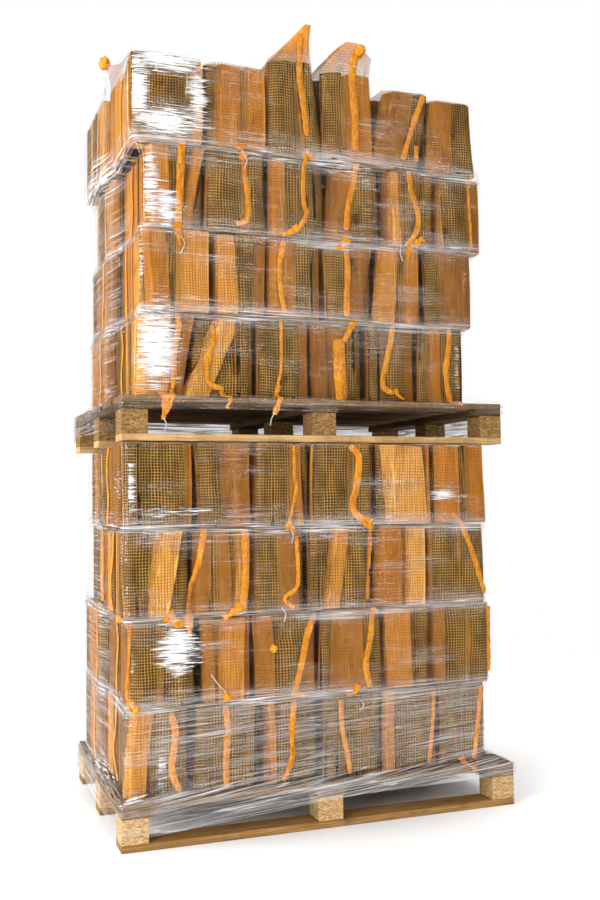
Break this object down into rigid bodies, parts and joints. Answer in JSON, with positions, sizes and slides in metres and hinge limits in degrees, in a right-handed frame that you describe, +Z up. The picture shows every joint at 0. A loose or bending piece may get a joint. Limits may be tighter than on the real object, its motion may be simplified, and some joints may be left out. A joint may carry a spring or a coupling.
{
  "type": "pallet of sacks",
  "caption": "Stacked wooden block pallets, each loaded with layers of net sacks of split firewood and wrapped in clear stretch film, with fork pockets on all sides.",
  "frame": {"origin": "on the floor under the middle of the whole object's footprint", "axes": "+X along the pallets' long side, to the right seen from the front; -Y is the front, the long side that the picture shows; +Z up"},
  "size_m": [1.2174, 0.849, 2.3923],
  "materials": {
    "sawn_wood": "rough sawn pale softwood, unplaned, with dark nail heads",
    "pressed_chip": "pressed wood chip blocks, matt",
    "net_sacks": "orange knitted plastic net over split logs with bark",
    "split_logs": "split hardwood faces and rough bark",
    "tie_string": "white twisted tie string",
    "stretch_film": "clear glossy stretch film in many turns"
  },
  "bodies": {
    "root": {"lower_under_board_front": "sawn_wood", "lower_block_front_left": "pressed_chip", "lower_block_front_middle": "pressed_chip", "lower_block_front_right": "pressed_chip", "lower_under_board_middle": "sawn_wood", "lower_block_middle_left": "pressed_chip", "lower_block_middle_middle": "pressed_chip", "lower_block_middle_right": "pressed_chip", "lower_under_board_back": "sawn_wood", "lower_block_back_left": "pressed_chip", "lower_block_back_middle": "pressed_chip", "lower_block_back_right": "pressed_chip", "lower_cross_board_left": "sawn_wood", "lower_cross_board_middle": "sawn_wood", "lower_cross_board_right": "sawn_wood", "lower_deck_board_1": "sawn_wood", "lower_deck_board_2": "sawn_wood", "lower_deck_board_3": "sawn_wood", "lower_deck_board_4": "sawn_wood", "lower_deck_board_5": "sawn_wood", "lower_sack_layer_1": "net_sacks", "lower_sack_layer_2": "net_sacks", "lower_sack_layer_3": "net_sacks", "lower_sack_layer_4": "net_sacks", "lower_stretch_film": "stretch_film", "upper_under_board_front": "sawn_wood", "upper_block_front_left": "pressed_chip", "upper_block_front_middle": "pressed_chip", "upper_block_front_right": "pressed_chip", "upper_under_board_middle": "sawn_wood", "upper_block_middle_left": "pressed_chip", "upper_block_middle_middle": "pressed_chip", "upper_block_middle_right": "pressed_chip", "upper_under_board_back": "sawn_wood", "upper_block_back_left": "pressed_chip", "upper_block_back_middle": "pressed_chip", "upper_block_back_right": "pressed_chip", "upper_cross_board_left": "sawn_wood", "upper_cross_board_middle": "sawn_wood", "upper_cross_board_right": "sawn_wood", "upper_deck_board_1": "sawn_wood", "upper_deck_board_2": "sawn_wood", "upper_deck_board_3": "sawn_wood", "upper_deck_board_4": "sawn_wood", "upper_deck_board_5": "sawn_wood", "upper_sack_layer_1": "net_sacks", "upper_sack_layer_2": "net_sacks", "upper_sack_layer_3": "net_sacks", "upper_sack_layer_4": "net_sacks", "upper_stretch_film": "stretch_film"}
  },
  "joints": []
}
